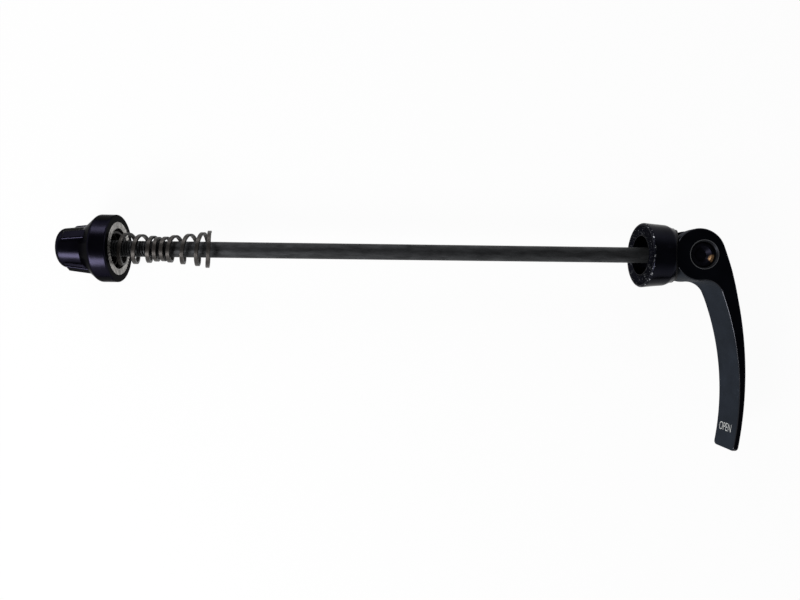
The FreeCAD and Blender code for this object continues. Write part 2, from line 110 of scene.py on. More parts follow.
class SkewerSizes(bpy.types.PropertyGroup):
    """Sizes of the details that dress the solids."""

    rod_diameter: length("Rod", "Rod and thread major diameter", 5.0)
    thread_lead: length("Thread lead", "Travel of one turn", 0.8)
    thread_depth: length("Thread depth", "Crest to root", 0.46)
    thread_run: length("Thread length", "Threaded part from the rod's end", 31.0)
    end_chamfer: length("End chamfer", "Chamfer of the rod's threaded end", 0.5)
    # Place and size of the barrel's bronze spot, a painted glint in the colour of bronze under the
    # black.
    glint_spot_along: length("Worn spot, along", "Barrel's bronze spot from the pivot, along the rod", 3.1)
    glint_spot_across: length("Worn spot, across", "Barrel's bronze spot from the pivot, across the rod", -1.2)
    glint_spot_core: length("Worn spot, core", "Radius within which the barrel is all bronze", 0.8)
    glint_spot_reach: length("Worn spot, reach", "Radius at which the bronze ends", 1.4)
    wire_width: length("Wire width", "Spring wire along the rod", 1.2)
    wire_thickness: length("Wire thickness", "Spring wire across", 0.7)
    wire_rounding: length("Wire edge", "Rounded edge of the wire", 0.12)
    nut_turns: runs("Nut spring turns", "Turns of its runs of coils", (1.0, 3.0, 0.75, 0.25))
    nut_leads: runs(
        "Nut spring leads", "Rise of a turn in each run", (1.7, 4.15, 1.5, 1.5), "LENGTH", MM)
    lever_turns: runs("Lever spring turns", "Turns of its runs of coils", (1.0, 2.0, 1.0, 0.25))
    lever_leads: runs(
        "Lever spring leads", "Rise of a turn in each run", (2.3, 4.5, 2.6, 0.0), "LENGTH", MM)
    end_turns: number("End turns", "Turns that close each narrow end", 0.5)
    end_rise: length("End rise", "Their rise along the rod", 0.35)
    end_slant: number("End slant", "Slant of the lever spring's last coil on the rod", 0.21)
    narrow_diameter: length("Narrow end", "Outside of the narrow end coil", 7.6)
    wide_diameter: length("Wide end", "Outside of the wide end coil", 11.9)
    knurl_inner: length("Knurl inside", "Inner radius of the cap's knurl", 6.45)
    knurl_outer: length("Knurl outside", "Outer radius of the cap's knurl", 9.6)
    knurl_height: length("Knurl height", "Height of the knurl's points", 0.17)
    knurl_root: length("Knurl root", "Depth of the knurl's closed back in the cap", 0.1)
    knurl_count: bpy.props.IntProperty(
        name="Knurl count", description="Diamonds around the cap's face", default=66, min=8)
    # The specks on the cap's rim are rubbed metal and painted glints in one.
    rim_width: length("Cap rim", "Width of the cap's rim that has rubbed specks", 0.5)
    rim_bare_and_glint: length("Cap rim, bare", "Depth to which the rim's specks are bare", 0.3)
    rim_fade: length("Cap rim, fade", "Depth at which the rim's specks end", 0.6)
    # The pale rim and the bright line around each of the lever's eyes are painted highlights on the
    # eyes' chamfers.
    eye_sheen_rim: length("Eye rim", "Radius of the pale rim of the lever's eyes", 4.26)
    eye_sheen_rim_reach: length("Eye rim reach", "Half the width of the pale rim", 0.24)
    eye_glint_line: length("Eye line", "Radius of the bare line around the rim", 4.57)
    eye_glint_line_reach: length("Eye line reach", "Half the width of the bare line", 0.07)
    mark_width: length("Mark width", "Width of the word on the lever", 6.4)
    mark_height: length("Mark height", "Height of its letters", 2.55)
    mark_place: length("Mark place", "Word's middle from the pivot, along the lever", 55.4)
    mark_shift: length("Mark shift", "Word's middle from the lever's middle plane", -0.5)
    mark_lift: length("Mark lift", "Print's height above the lever", 0.03)


class SkewerFinishes(bpy.types.PropertyGroup):
    """Base colours of the finishes."""

    rod: colour("Rod", "Black-oxide steel", (0.038, 0.0392, 0.0415))
    spring: colour("Springs", "Tempered spring wire", (0.037, 0.033, 0.0305))
    wire_side: colour("Springs, sides", "Dark sides of the flat wire", (0.008, 0.007, 0.007))
    grip: colour("Grip ring", "Bare steel", (0.31, 0.30, 0.285))
    nut: colour("Nut", "Blue-black anodising", (0.0076, 0.0070, 0.0124))
    cap: colour("Cap", "Black anodising", (0.0062, 0.0064, 0.0105))
    lever: colour("Lever", "Black anodising", (0.0062, 0.0070, 0.0110))
    # Tone of the lever's hollow side: a rougher finish, made lighter in part as a painted reflection.
    satin_sheen: colour("Lever, hollow side", "Satin anodising", (0.0205, 0.0250, 0.0335))
    # Painted highlight along the lever's rounded upper edges.
    edge: colour("Lever, edges", "Anodising rubbed thin", (0.024, 0.025, 0.029))
    # Painted highlight on the chamfered rims of the lever's eyes.
    eye_sheen_tone: colour("Eye rims", "Anodising rubbed pale", (0.013, 0.0135, 0.016))
    # Bright metal of the cap's specks, which are rubbed points and painted glints, and of the painted
    # highlight line around the lever's eyes.
    bare: colour("Bare points", "Aluminium at points and sharp edges", (0.36, 0.37, 0.39))
    barrel: colour("Barrel", "Blackened steel", (0.0070, 0.0068, 0.0110))
    # Colour of the barrel's spot: bronze under the black, painted where a warm glint falls on the rim.
    bronze: colour("Barrel, worn", "Bronze where the black is rubbed off", (0.45, 0.27, 0.14))
    saddle: colour("Saddle", "Black acetal", (0.006, 0.006, 0.007))
    nylon: colour("Lock insert", "Dark nylon", (0.055, 0.055, 0.060))
    mark: colour("Mark", "Pale print", (0.50, 0.51, 0.50))
    floor: colour("Floor", "Plain pale floor", (0.95, 0.95, 0.95))


class SkewerStage(bpy.types.PropertyGroup):
    """Floor, light and lens of the stage."""

    floor_half: length("Floor", "Half the side of the square floor", 1200.0)
    floor_white: number("Floor white", "Share of plain white in the floor that the camera sees", 0.95)
    horizon: number("Horizon", "Strength of the world's light around the horizon", 1.0)
    overhead: number("Overhead", "Strength of the world's light overhead", 0.13)
    front_power: number("Front lamp", "Power of the soft lamp in front", 1.95, "POWER")
    back_power: number("Back lamp", "Power of the soft lamp behind", 0.4, "POWER")
    lens: number("Lens", "Focal length of the camera", 27.0, "CAMERA")


def closed_tube(name, rows):
    """Mesh of a tube whose rows are rings of points, closed at both ends by fans."""
    count, around = rows.shape[:2]
    points = np.vstack([rows.reshape(-1, 3), rows[0].mean(0), rows[-1].mean(0)])
    ring = np.arange(around)
    following = (ring + 1) % around
    start = (np.arange(count - 1) * around)[:, None]
    quads = np.stack([
        start + ring, start + following, start + around + following, start + around + ring], -1)
    first, last = count * around, count * around + 1
    top = (count - 1) * around
    head = np.stack([following, ring, np.full(around, first)], -1)
    tail = np.stack([top + ring, top + following, np.full(around, last)], -1)
    faces = quads.reshape(-1, 4).tolist() + head.tolist() + tail.tolist()
    return new_piece(name, points, faces)


def closed_ring(name, rows):
    """Mesh of a shell whose grid of points closes on itself in both directions."""
    count, around = rows.shape[:2]
    index = np.arange(count * around).reshape(count, around)
    below = np.roll(index, -1, 0)
    quads = np.stack([index, np.roll(index, -1, 1), np.roll(below, -1, 1), below], -1)
    return new_piece(name, rows.reshape(-1, 3), quads.reshape(-1, 4).tolist())


def new_piece(name, points, faces, smooth=True):
    """Object at the origin from points and faces, with its normals turned outwards."""
    mesh = bpy.data.meshes.new(name)
    mesh.from_pydata(points.tolist(), [], faces)
    mesh.update()
    if signed_volume(mesh) < 0.0:
        mesh.flip_normals()
    mesh.polygons.foreach_set("use_smooth", np.full(len(mesh.polygons), smooth))
    piece = bpy.data.objects.new(name, mesh)
    bpy.context.collection.objects.link(piece)
    return piece


def signed_volume(mesh):
    """Volume that the faces enclose, negative where they point inwards."""
    mesh.calc_loop_triangles()
    corners = np.empty(len(mesh.loop_triangles) * 3, dtype=np.int32)
    mesh.loop_triangles.foreach_get("vertices", corners)
    points = np.empty(len(mesh.vertices) * 3)
    mesh.vertices.foreach_get("co", points)
    a, b, c = points.reshape(-1, 3)[corners.reshape(-1, 3)].transpose(1, 0, 2)
    return float((a * np.cross(b, c)).sum() / 6.0)


def dress(piece, body, slot, finish, *nodes):
    """Ride a new piece on a body, with its finish, in place of any nodes; the slot is not used."""
    piece.data.materials.clear()
    piece.data.materials.append(finish)
    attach(piece, body)
    if nodes:
        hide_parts(*nodes)


def finish_node(node, finish):
    """Give a CAD node's object its finish."""
    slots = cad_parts[node].material_slots
    for slot in slots:
        slot.material = finish
    if not slots:
        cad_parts[node].data.materials.append(finish)


def noise(node_tree, scale, stretch=EVEN, detail=4.0, rough=0.55):
    """Noise texture on Object coordinates stretched per axis; scale per metre."""
    coords = node_tree.nodes.new("ShaderNodeTexCoord")
    mapping = node_tree.nodes.new("ShaderNodeMapping")
    mapping.inputs["Scale"].default_value = stretch
    texture = node_tree.nodes.new("ShaderNodeTexNoise")
    texture.inputs["Scale"].default_value = scale
    texture.inputs["Detail"].default_value = detail
    texture.inputs["Roughness"].default_value = rough
    node_tree.links.new(coords.outputs["Object"], mapping.inputs["Vector"])
    node_tree.links.new(mapping.outputs["Vector"], texture.inputs["Vector"])
    return texture.outputs["Fac"]


def spread(node_tree, source, low, high, start=0.3, stop=0.7):
    """Value carried from start..stop to low..high, and held at both ends."""
    ramp = node_tree.nodes.new("ShaderNodeMapRange")
    ramp.inputs["From Min"].default_value = start
    ramp.inputs["From Max"].default_value = stop
    ramp.inputs["To Min"].default_value = low
    ramp.inputs["To Max"].default_value = high
    node_tree.links.new(source, ramp.inputs["Value"])
    return ramp.outputs["Result"]


def mixed(node_tree, factor, first, second):
    """Passes from first to second by a factor; each is a socket or a plain colour."""
    mix = node_tree.nodes.new("ShaderNodeMix")
    mix.data_type = "FLOAT" if getattr(first, "type", "RGBA") == "VALUE" else "RGBA"
    node_tree.links.new(factor, mix.inputs["Factor"])
    for side, value in (("A", first), ("B", second)):
        if isinstance(value, tuple):
            mix.inputs[side].default_value = (*value, 1.0)
        else:
            node_tree.links.new(value, mix.inputs[side])
    return mix.outputs["Result"]


def computed(node_tree, operation, first, second):
    """Two values joined by an operation; the second is a socket or a number."""
    step = node_tree.nodes.new("ShaderNodeMath")
    step.operation = operation
    node_tree.links.new(first, step.inputs[0])
    if isinstance(second, float):
        step.inputs[1].default_value = second
    else:
        node_tree.links.new(second, step.inputs[1])
    return step.outputs[0]


def within(node_tree, value, middle, reach):
    """1 where a value lies within reach of the middle, else 0."""
    compare = node_tree.nodes.new("ShaderNodeMath")
    compare.operation = "COMPARE"
    compare.inputs[1].default_value = middle
    compare.inputs[2].default_value = reach
    node_tree.links.new(value, compare.inputs[0])
    return compare.outputs[0]


def along(node_tree, axis, kind="Object"):
    """Coordinate of the object along an axis, or of its surface's direction for kind Normal."""
    coords = node_tree.nodes.new("ShaderNodeTexCoord")
    split = node_tree.nodes.new("ShaderNodeSeparateXYZ")
    node_tree.links.new(coords.outputs[kind], split.inputs["Vector"])
    return split.outputs[axis]


def facing(node_tree, axis, start, stop):
    """Share of the surface that faces along an axis of the object, from start to stop."""
    return spread(node_tree, along(node_tree, axis, "Normal"), 0.0, 1.0, start, stop)


def distance(node_tree, centre, keep=EVEN):
    """Distance from a centre in the object, over the axes that keep holds at 1."""
    coords = node_tree.nodes.new("ShaderNodeTexCoord")
    mapping = node_tree.nodes.new("ShaderNodeMapping")
    mapping.inputs["Scale"].default_value = keep
    mapping.inputs["Location"].default_value = [-c * k for c, k in zip(centre, keep)]
    measure = node_tree.nodes.new("ShaderNodeVectorMath")
    measure.operation = "LENGTH"
    node_tree.links.new(coords.outputs["Object"], mapping.inputs["Vector"])
    node_tree.links.new(mapping.outputs["Vector"], measure.inputs[0])
    return measure.outputs["Value"]


def bumped(node_tree, shader, height, strength, depth):
    """Raise the surface by a height, its depth in millimetres."""
    bump = node_tree.nodes.new("ShaderNodeBump")
    bump.inputs["Strength"].default_value = strength
    bump.inputs["Distance"].default_value = depth * MM
    node_tree.links.new(height, bump.inputs["Height"])
    node_tree.links.new(bump.outputs["Normal"], shader.inputs["Normal"])


def shaded(values, share):
    """Colour brightened or darkened by a share."""
    return tuple(min(1.0, v * share) for v in values)


def new_finish(name, metallic, specular=0.5, edge=1.0):
    """Material with a principled shader and its constants; edge is a metal's sheen at a slant."""
    finish = bpy.data.materials.new(name)
    finish.use_nodes = True
    shader = finish.node_tree.nodes["Principled BSDF"]
    shader.inputs["Metallic"].default_value = metallic
    shader.inputs["Specular IOR Level"].default_value = specular
    shader.inputs["Specular Tint"].default_value = (edge, edge, edge, 1.0)
    return finish, finish.node_tree, shader


def anodised_tone(node_tree, base, roughness):
    """Cloudy tint and roughness of an anodised skin with fine rubbed lines."""
    cloud = noise(node_tree, scale=120.0)
    rub = noise(node_tree, scale=700.0, stretch=RUBBED_OUT, detail=5.0, rough=0.7)
    line = spread(node_tree, rub, 0.0, 1.0, start=0.62, stop=0.74)
    cloudy = spread(node_tree, cloud, 0.0, 1.0)
    even = mixed(node_tree, cloudy, shaded(base, 0.75), shaded(base, 1.3))
    tone = mixed(node_tree, line, even, shaded(base, 1.9))
    return tone, spread(node_tree, cloud, low=roughness * 0.8, high=roughness * 1.25)


def fine_grain(node_tree, shader):
    """Fine grain that anodising leaves on blasted aluminium."""
    grain = noise(node_tree, scale=2600.0, detail=2.0)
    bumped(node_tree, shader, grain, strength=0.06, depth=0.02)


def nut_finish(looks):
    """Blue-black anodised nut: a dyed skin with fine grain, cloudy tint and rubbed lines."""
    finish, tree, shader = new_finish("nut_anodised", metallic=0.9, specular=0.5, edge=0.33)
    shader.inputs["IOR"].default_value = 1.3
    tone, rough = anodised_tone(tree, tuple(looks.nut), roughness=0.22)
    tree.links.new(tone, shader.inputs["Base Color"])
    tree.links.new(rough, shader.inputs["Roughness"])
    fine_grain(tree, shader)
    return finish


def cap_finish(looks, name, speck_from, speck_to, inside, gloss, edge):
    """Black cap whose skin is rubbed to bare aluminium between two places along the rod, in specks that
    are painted glints as well as wear.

    Only what lies further than inside from the rod's axis is rubbed, in specks whose
    brightness is a share, gloss, of bare aluminium's.
    """
    finish, tree, shader = new_finish(name, metallic=0.92, specular=0.2, edge=edge)
    tone, rough = anodised_tone(tree, tuple(looks.cap), roughness=0.24)
    # Painted glints: bright specks of bare metal, partly rubbed points of the clamp face.
    wear_and_glint_speck = noise(tree, scale=1500.0, detail=2.0)
    rubbed = spread(tree, wear_and_glint_speck, 0.0, 1.0, start=0.57, stop=0.67)
    near_face = spread(tree, along(tree, "X"), 1.0, 0.0, speck_from, speck_to)
    radius = distance(tree, (0.0, 0.0, 0.0), FROM_ROD_AXIS)
    outer = spread(tree, radius, 0.0, 1.0, inside, inside + 0.1 * MM)
    share = computed(tree, "MULTIPLY", computed(tree, "MULTIPLY", rubbed, near_face), outer)
    metal = shaded(looks.bare, gloss)
    bare = mixed(tree, wear_and_glint_speck, shaded(metal, 0.6), metal)
    tree.links.new(mixed(tree, share, tone, bare), shader.inputs["Base Color"])
    tree.links.new(rough, shader.inputs["Roughness"])
    bumped(tree, shader, wear_and_glint_speck, strength=0.08, depth=0.02)
    return finish


def lever_finish(sizes, looks, pivot):
    """Polished black lever whose hollow side is rougher and lighter, the lighter tone partly a painted
    reflection, with painted highlights along its rounded edges and around its two eyes.
    """
    finish, tree, shader = new_finish("lever_anodised", metallic=0.92, specular=0.2, edge=0.5)
    black, smooth = anodised_tone(tree, tuple(looks.lever), roughness=0.2)
    satin_sheen, rough = anodised_tone(tree, tuple(looks.satin_sheen), roughness=0.5)
    # The hollow side faces neither up nor down, and towards the rod; its lighter tone is partly a
    # painted reflection.
    sideways = computed(tree, "MULTIPLY", facing(tree, "Z", 0.5, 0.2), facing(tree, "Z", -0.5, -0.2))
    hollow = computed(tree, "MULTIPLY", sideways, facing(tree, "X", 0.3, 0.1))
    tone = mixed(tree, hollow, black, satin_sheen)
    # The rounded upper edges face up at a slant; their lighter tone is a painted highlight.
    slant = computed(tree, "MULTIPLY", facing(tree, "Z", 0.94, 0.85), facing(tree, "Z", 0.35, 0.5))
    tone = mixed(tree, slant, tone, tuple(looks.edge))
    # Painted highlights: a pale rim and a bright line around each eye, on its chamfer.
    radius = distance(tree, pivot, FROM_PIVOT_AXIS)
    rim = within(tree, radius, sizes.eye_sheen_rim, sizes.eye_sheen_rim_reach)
    line = within(tree, radius, sizes.eye_glint_line, sizes.eye_glint_line_reach)
    tone = mixed(tree, rim, tone, tuple(looks.eye_sheen_tone))
    tone = mixed(tree, line, tone, tuple(looks.bare))
    tree.links.new(tone, shader.inputs["Base Color"])
    even = mixed(tree, hollow, smooth, rough)
    tree.links.new(mixed(tree, rim, even, rough), shader.inputs["Roughness"])
    fine_grain(tree, shader)
    return finish


def barrel_finish(sizes, looks, spot):
    """Blackened steel barrel with a bronze spot at one place of its rim, a painted glint in the colour
    of bronze under the black.
    """
    finish, tree, shader = new_finish("barrel_blackened", metallic=0.92, specular=0.2, edge=0.5)
    cloud = noise(tree, scale=500.0)
    cloudy = spread(tree, cloud, 0.0, 1.0)
    dark = mixed(tree, cloudy, shaded(looks.barrel, 0.7), shaded(looks.barrel, 1.4))
    bronze = mixed(tree, cloud, shaded(looks.bronze, 0.5), tuple(looks.bronze))
    # Painted glint: the bronze patch at the spot stands in for a warm reflection on the rim.
    near = spread(tree, distance(tree, spot), 1.0, 0.0, sizes.glint_spot_core, sizes.glint_spot_reach)
    tree.links.new(mixed(tree, near, dark, bronze), shader.inputs["Base Color"])
    tree.links.new(spread(tree, cloud, low=0.36, high=0.5), shader.inputs["Roughness"])
    bumped(tree, shader, cloud, strength=0.1, depth=0.03)
    return finish


def drawn_steel(
        name, base, roughness, metallic, specular=0.5, stretch=EVEN, relief=0.25, depth=0.03):
    """Steel with streaks drawn out by the stretch given; relief and depth raise them."""
    finish, tree, shader = new_finish(name, metallic, specular)
    streak = noise(tree, scale=900.0, stretch=stretch, detail=6.0, rough=0.65)
    patch = noise(tree, scale=220.0)
    streaky = spread(tree, streak, 0.0, 1.0, start=0.25, stop=0.75)
    tone = mixed(tree, streaky, shaded(base, 0.5), shaded(base, 1.6))
    rough = spread(tree, patch, low=roughness * 0.8, high=roughness * 1.2)
    tree.links.new(tone, shader.inputs["Base Color"])
    tree.links.new(rough, shader.inputs["Roughness"])
    bumped(tree, shader, streak, relief, depth)
    return finish


def wire_finish(looks):
    """Tempered flat wire: brown-grey on its wide faces, dark on the sides along the rod."""
    finish = drawn_steel("spring_tempered", tuple(looks.spring), roughness=0.42, metallic=0.7)
    tree = finish.node_tree
    shader = tree.nodes["Principled BSDF"]
    face = shader.inputs["Base Color"].links[0].from_socket
    wide = computed(
        tree, "MULTIPLY", facing(tree, "X", 0.75, 0.45), facing(tree, "X", -0.75, -0.45))
    tone = mixed(tree, wide, tuple(looks.wire_side), face)
    tree.links.new(tone, shader.inputs["Base Color"])
    return finish


def moulded(name, base, roughness):
    """Moulded plastic with a fine pebbled skin."""
    finish, tree, shader = new_finish(name, metallic=0.0, specular=0.12)
    pebble = noise(tree, scale=1800.0, detail=3.0)
    tone = mixed(tree, pebble, shaded(base, 0.8), shaded(base, 1.2))
    rough = spread(tree, pebble, low=roughness * 0.9, high=roughness * 1.1)
    tree.links.new(tone, shader.inputs["Base Color"])
    tree.links.new(rough, shader.inputs["Roughness"])
    bumped(tree, shader, pebble, strength=0.15, depth=0.02)
    return finish


def floor_finish(base, white):
    """Pale matt floor with a faint mottle; white to the camera, with its shadow kept."""
    finish, tree, shader = new_finish("floor_pale", metallic=0.0, specular=0.0)
    tone = mixed(tree, noise(tree, scale=40.0), shaded(base, 0.995), base)
    tree.links.new(tone, shader.inputs["Base Color"])
    shader.inputs["Roughness"].default_value = 0.9
    glow = tree.nodes.new("ShaderNodeEmission")
    path = tree.nodes.new("ShaderNodeLightPath")
    seen = computed(
        tree, "MAXIMUM", path.outputs["Is Camera Ray"], path.outputs["Is Glossy Ray"])
    mix = tree.nodes.new("ShaderNodeMixShader")
    tree.links.new(computed(tree, "MULTIPLY", seen, white), mix.inputs["Fac"])
    tree.links.new(shader.outputs["BSDF"], mix.inputs[1])
    tree.links.new(glow.outputs["Emission"], mix.inputs[2])
    tree.links.new(mix.outputs["Shader"], tree.nodes["Material Output"].inputs["Surface"])
    return finish


def rod_rows(sizes, start, stop, around=48, per_lead=10, plain_rings=40, fade_turns=2.0):
    """Rings of the rod from start to stop along X.

    The radius is the rod's, less the thread's depth times a notch: a triangle wave of
    x / lead - angle / turn with flat crests, faded out over the last two turns of the
    thread, and less a chamfer that falls away in the last half millimetre of the tail.
    """
    radius = sizes.rod_diameter / 2
    lead = sizes.thread_lead
    run_out = start + sizes.thread_run
    threaded = np.arange(start, run_out + lead, lead / per_lead)
    plain = np.linspace(run_out + 1.1 * lead, stop, plain_rings)
    x = np.concatenate([threaded, plain])[:, None]
    angle = np.linspace(0.0, TAU, around, endpoint=False)[None, :]
    phase = np.mod(x / lead - angle / TAU, 1.0)
    notch = np.clip(1.25 - 2.5 * np.abs(2.0 * phase - 1.0), 0.0, 1.0)
    fade = np.clip((run_out - x) / (fade_turns * lead), 0.0, 1.0)
    chamfer = np.clip(start + sizes.end_chamfer - x, 0.0, None)
    r = np.minimum(radius - sizes.thread_depth * notch * fade, radius - chamfer)
    return np.stack(np.broadcast_arrays(x, r * np.cos(angle), r * np.sin(angle)), -1)


def wire_section(sizes, points=5):
    """Rounded rectangle of the wire: axial and radial offsets of its outline.

    Each corner is an arc with a short straight run at both ends, which keeps the faces flat.
    """
    quarter = np.linspace(0.0, np.pi / 2, points)
    arc = sizes.wire_rounding * np.stack([np.cos(quarter), np.sin(quarter)], -1)
    run = sizes.wire_rounding / 4
    arc = np.vstack([arc[0] - (0.0, run), arc, arc[-1] - (run, 0.0)])
    half = np.array([sizes.wire_width, sizes.wire_thickness]) / 2 - sizes.wire_rounding
    corner = half + arc
    return np.vstack([
        corner, corner[::-1] * (-1, 1), corner * (-1, -1), corner[::-1] * (1, -1)])


def spring_rows(sizes, turns, leads, narrow_end, outward, slant=0.0, per_turn=72):
    """Rings of a conical left-hand spring of flat wire about the rod's axis.

    Along the wire, t counts turns from the narrow end, which closes in the turns before
    t = 0. The wire's place along the rod rises by the lead of each run of coils in turn,
    eased at the corners by averaging over a fifth of a turn, and its radius grows evenly
    from the narrow to the wide end. Each ring is the wire's section held in the plane
    through the axis at the wire's angle. The last full turn leans over by the slant,
    with its upper side outward, as a loose coil hangs on a rod.
    """
    knots = np.concatenate([[-sizes.end_turns, 0.0], np.cumsum(turns)])
    rises = np.array(turns) * np.array(leads)
    places = np.concatenate([[-sizes.end_rise, 0.0], np.cumsum(rises)])
    count = int((knots[-1] - knots[0]) * per_turn) + 1
    t = np.linspace(knots[0], knots[-1], count)
    tenth = 0.1
    ease = np.minimum(1.0, np.minimum(t - knots[0], knots[-1] - t) / tenth)
    nearby = np.linspace(-tenth, tenth, 9)[:, None] * ease
    place = np.interp(t + nearby, knots, places).mean(0)
    narrow = (sizes.narrow_diameter - sizes.wire_thickness) / 2
    wide = (sizes.wide_diameter - sizes.wire_thickness) / 2
    radius = narrow + (wide - narrow) * np.maximum(t, 0.0) / knots[-1]
    angle = (-outward * TAU * t)[:, None]
    section = wire_section(sizes)
    r = radius[:, None] + section[None, :, 1]
    lean = slant * np.clip(t - knots[-3], 0.0, 1.0)[:, None]
    upright = narrow_end + outward * place[:, None] + section[None, :, 0]
    x = upright + outward * lean * r * np.cos(angle)
    return np.stack([x, -r * np.sin(angle), r * np.cos(angle)], -1)


def knurl_rows(sizes, face, radial=60, per_point=7):
    """Grid of the cap's knurled face, closed below the face.

    The height is the lesser of two triangle waves that run as spirals to left and right,
    count * angle / turn plus and minus the logarithm of the radius, which gives points of
    one shape over the whole face, cut off at two thirds of the waves. It fades to the face
    over the first and last tenth of the radius.
    """
    around = sizes.knurl_count * per_point
    angle = np.linspace(0.0, TAU, around, endpoint=False)[None, :]
    share = np.linspace(0.0, 1.0, radial)[:, None]
    r = sizes.knurl_inner + (sizes.knurl_outer - sizes.knurl_inner) * share
    spiral = sizes.knurl_count * np.log(r / sizes.knurl_inner) / TAU
    turn = sizes.knurl_count * angle / TAU
    left = np.abs(np.mod(turn + spiral, 1.0) * 2.0 - 1.0)
    right = np.abs(np.mod(turn - spiral, 1.0) * 2.0 - 1.0)
    edge = np.clip(np.minimum(share, 1.0 - share) * 10.0, 0.0, 1.0)
    height = sizes.knurl_height * np.minimum(1.0, 1.5 * np.minimum(left, right)) * edge
    y, z = r * np.cos(angle), r * np.sin(angle)
    top = np.stack(np.broadcast_arrays(face - height, y, z), -1)
    root = face + sizes.knurl_root
    inside = np.stack(np.broadcast_arrays(root, y[:1], z[:1]), -1)
    outside = np.stack(np.broadcast_arrays(root, y[-1:], z[-1:]), -1)
    return np.concatenate([inside, top, outside], 0)


def word_points(word):
    """Points and faces of a flat word, its box centred and one unit wide and high."""
    text = bpy.data.curves.new("word", "FONT")
    text.body = word
    text.offset = LETTER_THINNING
    letters = bpy.data.objects.new("word", text)
    bpy.context.collection.objects.link(letters)
    bpy.context.view_layer.update()
    flat = bpy.data.meshes.new_from_object(letters)
    bpy.data.objects.remove(letters)
    points = np.empty(len(flat.vertices) * 3)
    flat.vertices.foreach_get("co", points)
    points = points.reshape(-1, 3)[:, :2]
    low, high = points.min(0), points.max(0)
    faces = [list(polygon.vertices) for polygon in flat.polygons]
    return (points - (low + high) / 2) / (high - low), faces


def studio_world(horizon, overhead):
    """World that is bright around the horizon and dark overhead."""
    world = bpy.data.worlds.new("studio")
    world.use_nodes = True
    tree = world.node_tree
    level = spread(tree, along(tree, "Z", "Generated"), horizon, overhead, start=0.3, stop=0.65)
    background = tree.nodes["Background"]
    background.inputs["Color"].default_value = (1.0, 1.0, 1.0, 1.0)
    tree.links.new(level, background.inputs["Strength"])
    return world


def soft_lamp(name, place, target, side, power):
    """Square soft lamp aimed at a target."""
    light = bpy.data.lights.new(name, "AREA")
    light.size = side
    light.energy = power
    lamp = bpy.data.objects.new(name, light)
    aim = (Vector(target) - Vector(place)).to_track_quat("-Z", "Y")
    lamp.matrix_world = Matrix.Translation(place) @ aim.to_matrix().to_4x4()
    bpy.context.collection.objects.link(lamp)


def overhead_camera(lens):
    """Camera above the skewer, its axes from the directions given for back and up."""
    data = bpy.data.cameras.new("overhead")
    data.lens = lens
    data.sensor_width = SENSOR_WIDTH
    data.clip_start = 10.0 * MM
    camera = bpy.data.objects.new("overhead", data)
    back = Vector(CAMERA_BACK).normalized()
    right = Vector(CAMERA_UP).cross(back).normalized()
    turn = Matrix((right, back.cross(right), back)).transposed().to_4x4()
    camera.matrix_world = Matrix.Translation(CAMERA_PLACE) @ turn
    return camera


class SKEWER_OT_rod(bpy.types.Operator):
    """Threaded rod in place of the plain one, and the finish of the pivot barrel"""
    bl_idname = "skewer.rod"
    bl_label = "Rod"

    def execute(self, context):
        sizes, looks = context.scene.skewer_sizes, context.scene.skewer_finishes
        low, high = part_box("skewer_rod")
        steel = drawn_steel(
            "rod_black_oxide", tuple(looks.rod), roughness=0.58, metallic=0.85, specular=0.2,
            stretch=DRAWN_OUT, relief=0.8, depth=0.085)
        piece = closed_tube("threaded_rod", rod_rows(sizes, low.x, high.x))
        dress(piece, "rod", "rod_steel", steel, "skewer_rod")
        low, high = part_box("pivot_barrel")
        # Spot of the barrel's painted bronze glint, on its near rim.
        spot = ((low.x + high.x) / 2 + sizes.glint_spot_along, sizes.glint_spot_across, high.z)
        finish_node("pivot_barrel", barrel_finish(sizes, looks, spot))
        return {"FINISHED"}


class SKEWER_OT_springs(bpy.types.Operator):
    """Flat-wire centring springs"""
    bl_idname = "skewer.springs"
    bl_label = "Springs"

    def execute(self, context):
        sizes, looks = context.scene.skewer_sizes, context.scene.skewer_finishes
        steel = wire_finish(looks)
        half = sizes.wire_width / 2
        nut_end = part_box("nut_spring")[1].x - half
        lever_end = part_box("lever_spring")[0].x + half
        nut_rows = spring_rows(sizes, sizes.nut_turns, sizes.nut_leads, nut_end, -1.0)
        nut_spring = closed_tube("nut_coil_spring", nut_rows)
        dress(nut_spring, "nut_spring", "spring_steel", steel, "nut_spring")
        lever_rows = spring_rows(
            sizes, sizes.lever_turns, sizes.lever_leads, lever_end, 1.0, sizes.end_slant)
        lever_spring = closed_tube("lever_coil_spring", lever_rows)
        dress(lever_spring, "lever_spring", "spring_steel", steel, "lever_spring")
        return {"FINISHED"}


class SKEWER_OT_cap(bpy.types.Operator):
    """Knurled clamp face and finishes of the end cap and its saddle"""
    bl_idname = "skewer.cap"
    bl_label = "End cap"

    def execute(self, context):
        sizes, looks = context.scene.skewer_sizes, context.scene.skewer_finishes
        low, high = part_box("end_cap")
        face = low.x
        # Both cap finishes hold bright specks: rubbed metal, and painted glints on the rim and the
        # knurl's points.
        body = cap_finish(
            looks, "cap_anodised", face + sizes.rim_bare_and_glint, face + sizes.rim_fade,
            inside=high.y - sizes.rim_width, gloss=1.0, edge=0.62)
        finish_node("end_cap", body)
        finish_node("cam_saddle", moulded("saddle_acetal", tuple(looks.saddle), roughness=0.5))
        points = cap_finish(
            looks, "cap_knurl_wear_and_glints", face - sizes.knurl_height, face - 0.3 * sizes.knurl_height,
            inside=0.0, gloss=0.5, edge=0.2)
        knurl = closed_ring("cap_knurl", knurl_rows(sizes, face))
        dress(knurl, "cap", "cap_black", points)
        return {"FINISHED"}


